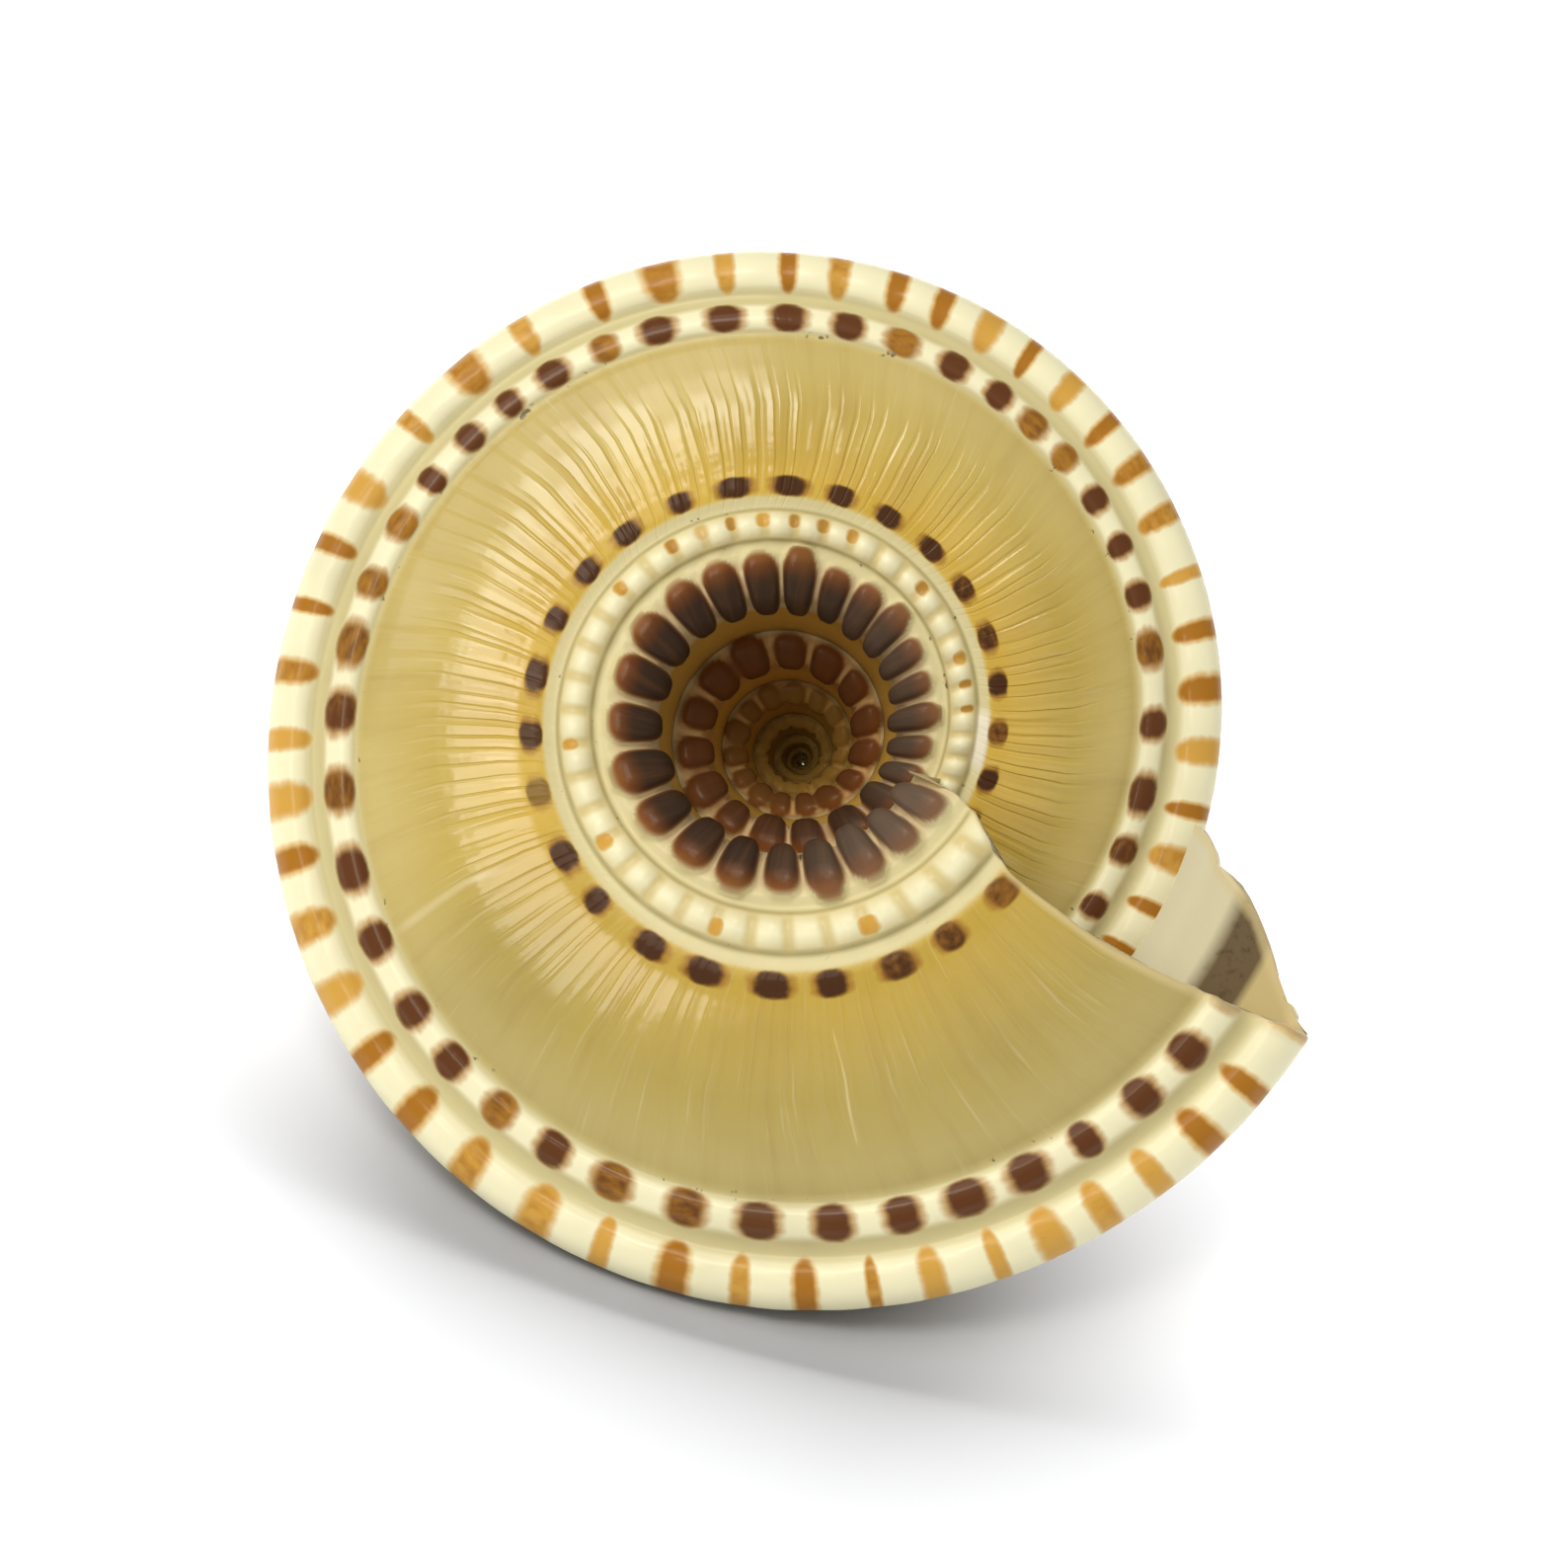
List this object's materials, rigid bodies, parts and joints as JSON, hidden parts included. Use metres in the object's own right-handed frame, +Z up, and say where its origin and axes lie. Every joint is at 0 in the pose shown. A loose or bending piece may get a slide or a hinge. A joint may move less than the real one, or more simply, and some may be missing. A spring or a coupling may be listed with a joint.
{
  "type": "sundial shell",
  "caption": "Low conical sea snail shell lying on its side, base up, with a wide toothed umbilicus, beaded cords round its keel and an open mouth.",
  "frame": {"origin": "on the surface that the shell lies on, at the middle of its bounding box", "axes": "+Z up from that surface; +X towards the mouth, along the longest side; the base faces up and towards -Y"},
  "size_m": [0.0488, 0.0392, 0.0267],
  "materials": {
    "shell": "glossy shell: cream and beige-gold with rows of brown spots"
  },
  "bodies": {
    "root": {"shell": "shell"}
  },
  "joints": []
}
